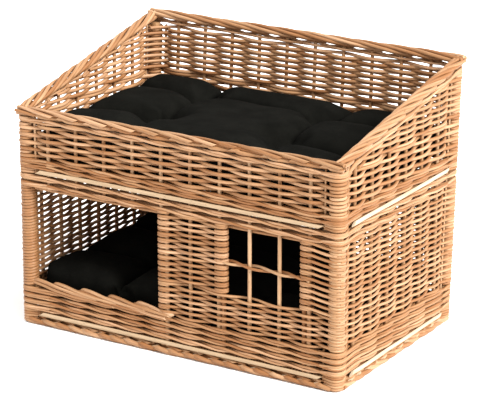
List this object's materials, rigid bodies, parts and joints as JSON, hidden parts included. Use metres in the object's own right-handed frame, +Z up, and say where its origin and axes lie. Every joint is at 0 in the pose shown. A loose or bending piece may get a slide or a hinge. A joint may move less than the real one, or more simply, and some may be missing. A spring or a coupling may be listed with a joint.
{
  "type": "wicker pet bed basket",
  "caption": "Two-storey woven willow pet house: a cushioned sleeping room with a doorway and a barred window, under a cushioned tray with a high back.",
  "frame": {"origin": "middle of the whole outline, on the ground", "axes": "+X to the object's right seen from the front, along its length; the doorway faces -Y; +Z up"},
  "size_m": [0.606, 0.4106, 0.446],
  "materials": {
    "willow_posts": "satin, peeled willow, slightly darker",
    "wound_skein": "smooth satin split willow skein",
    "willow_sticks": "peeled willow stick",
    "willow_weave": "buff willow rods, satin, varied from rod to rod",
    "peeled_sticks": "pale flat white willow, matt",
    "willow_stakes": "buff willow stakes, satin",
    "willow_borders": "buff willow rods, satin, with cut ends",
    "black_cloth": "matt black cotton",
    "cushion_filling": "polyester wadding",
    "tuft_thread": "matt black thread"
  },
  "bodies": {
    "basket": {"post_front_left": "willow_posts", "post_front_right": "willow_posts", "post_back_left": "willow_posts", "post_back_right": "willow_posts", "post_wrap_left": "wound_skein", "post_wrap_right": "wound_skein", "base_floor_sticks": "willow_sticks", "base_floor_weave": "willow_weave", "base_stick_front": "peeled_sticks", "base_stick_back": "peeled_sticks", "base_stick_left": "peeled_sticks", "base_stick_right": "peeled_sticks", "upper_floor_sticks": "willow_sticks", "upper_floor_weave": "willow_weave", "upper_stick_front": "peeled_sticks", "upper_stick_back": "peeled_sticks", "upper_stick_left": "peeled_sticks", "upper_stick_right": "peeled_sticks", "stakes_front": "willow_stakes", "stakes_back": "willow_stakes", "stakes_left": "willow_stakes", "stakes_right": "willow_stakes", "foot_border_front": "willow_borders", "foot_border_back": "willow_borders", "foot_border_left": "willow_borders", "foot_border_right": "willow_borders", "base_wale": "willow_weave", "header_wale": "willow_weave", "shelf_wale": "willow_weave", "rim_wale": "willow_weave", "door_panel_weave": "willow_weave", "window_sill_weave": "willow_weave", "window_side_weave": "willow_weave", "front_upper_weave": "willow_weave", "back_lower_weave": "willow_weave", "back_upper_weave": "willow_weave", "left_lower_weave": "willow_weave", "left_upper_weave": "willow_weave", "right_lower_weave": "willow_weave", "right_upper_weave": "willow_weave", "door_sill_border": "willow_borders", "door_jamb": "willow_stakes", "window_jamb_left": "willow_stakes", "window_jamb_right": "willow_stakes", "window_bars": "willow_stakes", "window_crossbar": "willow_stakes", "rim_border_front": "willow_borders", "rim_border_back": "willow_borders", "rim_border_left": "willow_borders", "rim_border_right": "willow_borders", "lower_cushion_cover": "black_cloth", "lower_cushion_filling": "cushion_filling", "lower_cushion_ties": "tuft_thread"},
    "top_cushion": {"top_cushion_cover": "black_cloth", "top_cushion_filling": "cushion_filling", "top_cushion_ties": "tuft_thread"}
  },
  "joints": [
    {"name": "top_cushion_lift", "type": "slide", "parent": "basket", "child": "top_cushion", "axis": [0, 0, 1], "range_m": [0, 0.22]}
  ]
}
